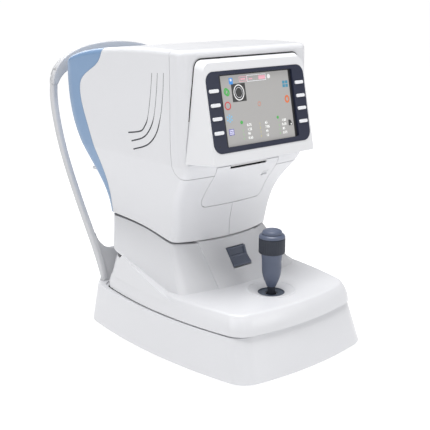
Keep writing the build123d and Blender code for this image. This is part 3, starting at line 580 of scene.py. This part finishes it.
# A near-black strip of painted shade stands in the gap round the screen housing.
GAP_SHADE_LOW_SHARE = 0.42                            # the gap shows only above this share of the height
GAP_SHADE_BACK = 7.7                                  # its front face, ahead of the housing's rear
GAP_SHADE_THICKNESS = 0.4
GAP_SHADE_INNER, GAP_SHADE_OUTER = 0.2, 2.1              # its edges, out from the housing's outline
HOUSING_TOP_HALF, HOUSING_CORNER = 99.5, 12.0
HOUSING_CORNER_STEPS = 8


def add_screen_gap_shade():
    """Dark painted shade in the gap round the top and upper flanks of the screen housing."""
    low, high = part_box("display_housing")
    half_top = HOUSING_TOP_HALF * MM
    z_low = low[2] + (high[2] - low[2]) * GAP_SHADE_LOW_SHARE
    half_cut = high[0] + (half_top - high[0]) * GAP_SHADE_LOW_SHARE
    front = high[1] - GAP_SHADE_BACK * MM
    rear = front + GAP_SHADE_THICKNESS * MM
    section = ((GAP_SHADE_INNER, front), (GAP_SHADE_OUTER, front), (GAP_SHADE_OUTER, rear),
               (GAP_SHADE_INNER, rear))
    outlines = [housing_outline(half_cut, half_top, z_low, high[2], grow * MM, y)
                for grow, y in section]
    bm = bmesh.new()
    tube_rings(bm, [list(column) for column in zip(*outlines)])
    add_bmesh("screen_gap_shade", bm, RUBBER_AND_PAINTED_SHADE, "head")


def housing_outline(half_low, half_top, z_low, z_top, grow, y):
    """Sides and top of a trapezoid with rounded top corners, as points at depth y."""
    radius = HOUSING_CORNER * MM
    lean = math.atan2(half_low - half_top, z_top - z_low)
    centre = Vector((half_top - radius, z_top - radius))
    turns = [lean + (math.pi / 2 - lean) * k / HOUSING_CORNER_STEPS
             for k in range(HOUSING_CORNER_STEPS + 1)]
    arc = [centre + Vector((math.cos(a), math.sin(a))) * (radius + grow) for a in turns]
    right = [Vector((half_low + grow, z_low))] + arc
    points = right + [Vector((-p.x, p.y)) for p in right[::-1]]
    return [Vector((p.x, y, p.y)) for p in points]


DOT_U, DOT_V, DOT_RADIUS, DOT_STEPS = -84, -46, 1.1, 16
DOT_LAYERS = ((1.0, 0.45), (1.0, 0.62), (0.6, 0.75))        # share of the radius, height


def add_bezel_dot():
    """Small domed status light in the corner of the bezel."""
    bm = bmesh.new()
    tube_rings(bm, [[on_screen(DOT_U + u, DOT_V + v, w)
                     for u, v in circle(DOT_RADIUS * share, DOT_STEPS)]
                    for share, w in DOT_LAYERS])
    add_bmesh("status_light", bm, BLACK, "head", smooth=True)


# ------------------------------------------------------------------ rounded mouldings
ROUNDED = (                                        # node, radius, body, slot, material
    ("headrest_bow", 4.0, "base", "shell_white", ARCH),
    ("headrest_crossmember", 2.5, "base", "shell_white", ARCH),
    ("chin_column", 1.5, "base", "chin_grey", CHIN),
    ("chinrest", 2.5, "chin", "chin_grey", CHIN),
)
SHARP_ANGLE = math.radians(32)
FLAT_ANGLE = math.radians(0.6)                     # faces that turn less than this are one
SAME_POINT = 0.02
BEVEL_STEPS = 4


def add_rounded_copy(node, radius, body, slot, material):
    """A moulding with its sharp edges rounded, in place of the plain CAD node."""
    bm = bmesh.new()
    bm.from_mesh(NODES[node].data)
    bmesh.ops.remove_doubles(bm, verts=bm.verts, dist=SAME_POINT * MM)
    bmesh.ops.dissolve_limit(bm, angle_limit=FLAT_ANGLE, verts=bm.verts, edges=bm.edges)
    sharp = [e for e in bm.edges if len(e.link_faces) == 2
             and e.calc_face_angle(0.0) > SHARP_ANGLE]
    bmesh.ops.bevel(bm, geom=sharp, offset=radius * MM, offset_type="OFFSET",
                    segments=BEVEL_STEPS, profile=0.5, affect="EDGES", clamp_overlap=True)
    bmesh.ops.triangulate(bm, faces=[f for f in bm.faces if len(f.verts) > 4])
    piece = add_bmesh(node + "_rounded", bm, material, body, smooth=True)
    piece.data.set_sharp_from_angle(angle=SHARP_ANGLE)
    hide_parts(node)


# ------------------------------------------------------------------ forehead pad
PAD_STEPS, PAD_LAYERS = 64, 9
PAD_END_SQUARE, PAD_SIDE_SQUARE = 0.33, 0.55       # below 1 the outline is squarer than an ellipse
PAD_FOOT, PAD_SWELL = 0.965, 2.2                   # the foot is drawn in and swells out to full size
PAD_CROWN, PAD_CROWN_SPAN, PAD_CROWN_POWER = 0.45, 0.56, 2.6    # from this share up it closes in
PAD_LEAST = 0.02
PAD_FULLNESS = 0.97                                # share of the box's depth that the pad takes
PAD_MIDDLE_SWELL = 0.03                            # how much fuller its middle is than its ends


def pad_shrink(rise):
    """Size of the pad's outline at a share of its height, against its full size."""
    shrink = PAD_FOOT + (1 - PAD_FOOT) * math.sin(math.pi * min(1.0, rise * PAD_SWELL) / 2)
    if rise > PAD_CROWN:
        closing = ((rise - PAD_CROWN) / PAD_CROWN_SPAN) ** PAD_CROWN_POWER
        shrink *= math.sqrt(max(PAD_LEAST, 1 - closing))
    return shrink


def add_forehead_pad():
    """Crowned silicone pad: square-ended in outline, flat on the bow and full at its middle."""
    low, high = (Vector(v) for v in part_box("forehead_pad"))
    middle, half = (low + high) / 2, (high - low) / 2
    rings = []
    for k in range(PAD_LAYERS):
        rise = k / (PAD_LAYERS - 1)
        shrink = pad_shrink(rise)
        ring = []
        for c, d in circle(1.0, PAD_STEPS):
            x = half.x * shrink * math.copysign(abs(c) ** PAD_END_SQUARE, c)
            z = half.z * shrink * math.copysign(abs(d) ** PAD_SIDE_SQUARE, d)
            swell = PAD_MIDDLE_SWELL * math.cos(math.pi * x / half.x)
            y = low.y + rise * half.y * (2 * PAD_FULLNESS + swell)
            ring.append((middle.x + x, y, middle.z + z))
        rings.append(ring)
    bm = bmesh.new()
    tube_rings(bm, rings)
    pad = add_bmesh("forehead_pad_soft", bm, SILICONE, "base", smooth=True)
    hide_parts("forehead_pad")


# ------------------------------------------------------------------ painted shade on the deck and in the well
DOWN = Vector((0, 0, -1))
SHADE_SHEET_STEPS, SHADE_SHEET_INSET = 96, 3.0               # rays round the deck, and the gap left to its wall
SHADE_SHEET_BOTTOM, SHADE_SHEET_TOP = 0.1, 0.6               # above the deck
DECK_SHIFT = 20.0                                  # towards the operator from the cover's middle
WALL_RAY_HEIGHT = 1.2
WELL_STEPS = 64
WELL_PROBE = 14.0                                  # out from the well's axis, clear of its hole
WELL_PROFILE = ((8.7, 0.05), (8.7, 0.5), (18.6, 0.6), (19.3, 1.2), (19.3, 2.2), (19.8, 2.2),
                (19.8, 0.05))                      # radius, height above the well's floor


def add_deck_shade_sheet():
    """Dark sheet of painted shade on the base's deck, under the moving stage."""
    tree = surface_tree("base_cover")
    low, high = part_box("base_cover")
    y = (low[1] + high[1]) / 2 - DECK_SHIFT * MM
    deck = tree.ray_cast(Vector((0, y, high[2] + 0.1)), DOWN)[0].z
    start = Vector((0, y, deck + WALL_RAY_HEIGHT * MM))
    outline = []
    for c, s in circle(1.0, SHADE_SHEET_STEPS):
        way = Vector((c, s, 0))
        outline.append(tree.ray_cast(start, way)[0] - way * (SHADE_SHEET_INSET * MM))
    bm = bmesh.new()
    # A thin near-black sheet: painted shade in the gap under the stage's edge.
    tube_rings(bm, [[(p.x, p.y, deck + height * MM) for p in outline]
                    for height in (SHADE_SHEET_BOTTOM, SHADE_SHEET_TOP)])
    add_bmesh("deck_shade_sheet", bm, RUBBER_AND_PAINTED_SHADE, "base")


def add_well_shade_sheet():
    """Blue-grey sheet of painted shade over the floor and wall of the joystick's well."""
    low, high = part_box("joystick_dish")
    x, y = (low[0] + high[0]) / 2, (low[1] + high[1]) / 2
    above = Vector((x + WELL_PROBE * MM, y, high[2] + 0.1))
    floor = surface_tree("joystick_dish").ray_cast(above, DOWN)[0].z
    rings = [[(x + r * MM * c, y + r * MM * s, floor + height * MM) for r, height in WELL_PROFILE]
             for c, s in circle(1.0, WELL_STEPS)]
    bm = bmesh.new()
    tube_rings(bm, rings, closed=True)
    add_bmesh("joystick_well_shade_sheet", bm, WELL_SHADE, "stage")


# ------------------------------------------------------------------ run
def main():
    add_camera()
    add_surroundings()
    dress_cad()
    add_screen_picture()
    add_side_grooves()
    add_screen_gap_shade()
    add_bezel_dot()
    for row in ROUNDED:
        add_rounded_copy(*row)
    add_forehead_pad()
    add_deck_shade_sheet()
    add_well_shade_sheet()


main()
